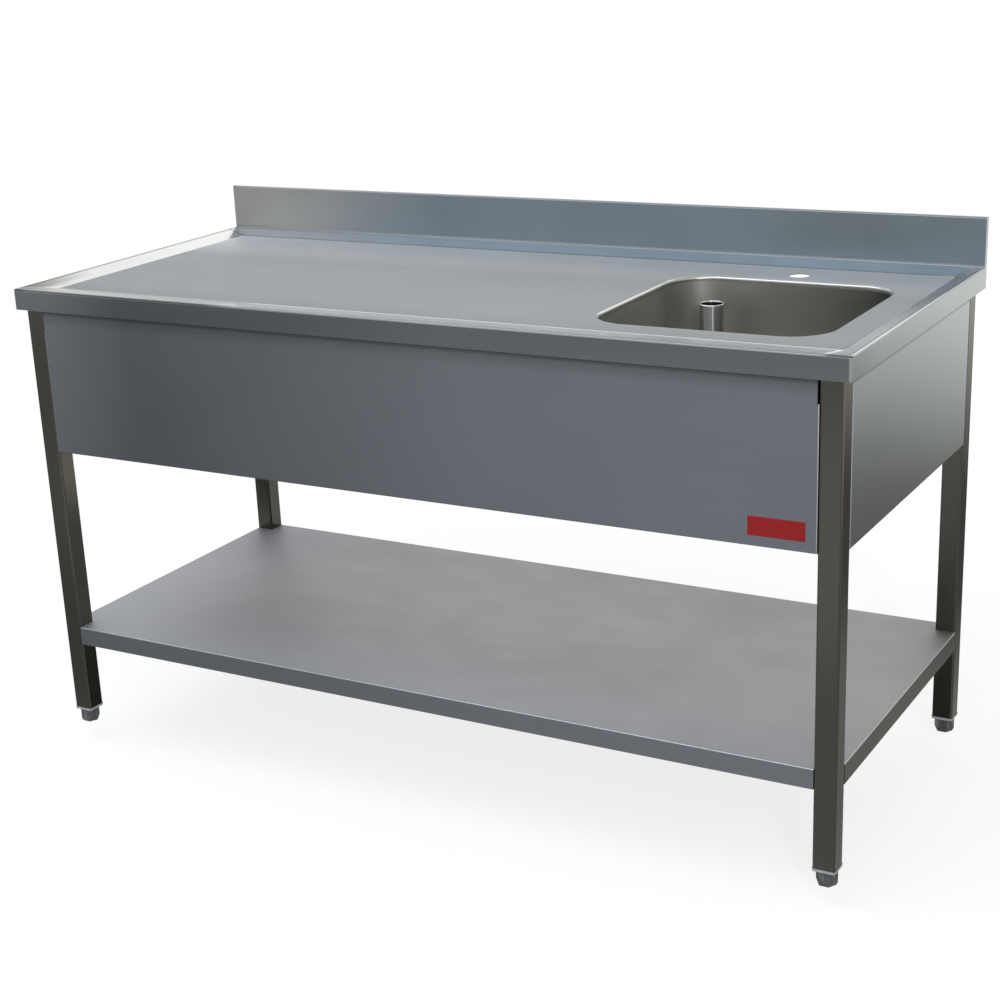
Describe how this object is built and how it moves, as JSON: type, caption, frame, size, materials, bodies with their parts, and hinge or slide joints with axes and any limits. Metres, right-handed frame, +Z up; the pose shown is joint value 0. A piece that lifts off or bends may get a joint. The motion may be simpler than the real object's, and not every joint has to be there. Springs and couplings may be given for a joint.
{
  "type": "sink table",
  "caption": "Stainless sink table: recessed top with upstand, drawn square bowl with lift-out overflow tube, folded aprons, square tube legs on screw-levelling feet and a shelf below.",
  "frame": {"origin": "on the floor under the middle of the table", "axes": "+X along the table towards the bowl, +Y from the front to the upstand, +Z up"},
  "size_m": [1.6, 0.7, 0.958],
  "materials": {
    "sheet_steel": "fine brushed",
    "tube_steel": "brushed along the tube",
    "fixing_steel": "plain",
    "bright_steel": "polished",
    "grey_plastic": "moulded",
    "dark_plastic": "moulded",
    "black_rubber": "matt"
  },
  "bodies": {
    "table": {"worktop": "sheet_steel", "sink_bowl": "sheet_steel", "worktop_channel_1": "sheet_steel", "worktop_channel_2": "sheet_steel", "worktop_channel_3": "sheet_steel", "worktop_channel_4": "sheet_steel", "worktop_channel_5": "sheet_steel", "front_apron": "sheet_steel", "right_apron": "sheet_steel", "left_apron": "sheet_steel", "undershelf": "sheet_steel", "shelf_channel_left": "sheet_steel", "shelf_channel_right": "sheet_steel", "leg_front_left": "tube_steel", "leg_front_right": "tube_steel", "leg_rear_left": "tube_steel", "leg_rear_right": "tube_steel", "leg_insert_front_left": "grey_plastic", "leg_insert_front_right": "grey_plastic", "leg_insert_rear_left": "grey_plastic", "leg_insert_rear_right": "grey_plastic", "apron_bolts": "fixing_steel", "shelf_bolts": "fixing_steel", "waste_ring_nut": "fixing_steel", "waste_body": "bright_steel", "waste_upper_gasket": "black_rubber", "waste_lower_gasket": "black_rubber"},
    "foot_front_left": {"levelling_foot_front_left": "dark_plastic"},
    "foot_front_right": {"levelling_foot_front_right": "dark_plastic"},
    "foot_rear_left": {"levelling_foot_rear_left": "dark_plastic"},
    "foot_rear_right": {"levelling_foot_rear_right": "dark_plastic"},
    "overflow": {"standpipe": "bright_steel", "standpipe_plug": "black_rubber"}
  },
  "joints": [
    {"name": "foot_front_left_screw", "type": "slide", "parent": "table", "child": "foot_front_left", "axis": [0, 0, -1], "range_m": [0, 0.04]},
    {"name": "foot_front_right_screw", "type": "slide", "parent": "table", "child": "foot_front_right", "axis": [0, 0, -1], "range_m": [0, 0.04]},
    {"name": "foot_rear_left_screw", "type": "slide", "parent": "table", "child": "foot_rear_left", "axis": [0, 0, -1], "range_m": [0, 0.04]},
    {"name": "foot_rear_right_screw", "type": "slide", "parent": "table", "child": "foot_rear_right", "axis": [0, 0, -1], "range_m": [0, 0.04]},
    {"name": "overflow_lift", "type": "slide", "parent": "table", "child": "overflow", "axis": [0, 0, 1], "range_m": [0, 0.36]}
  ]
}
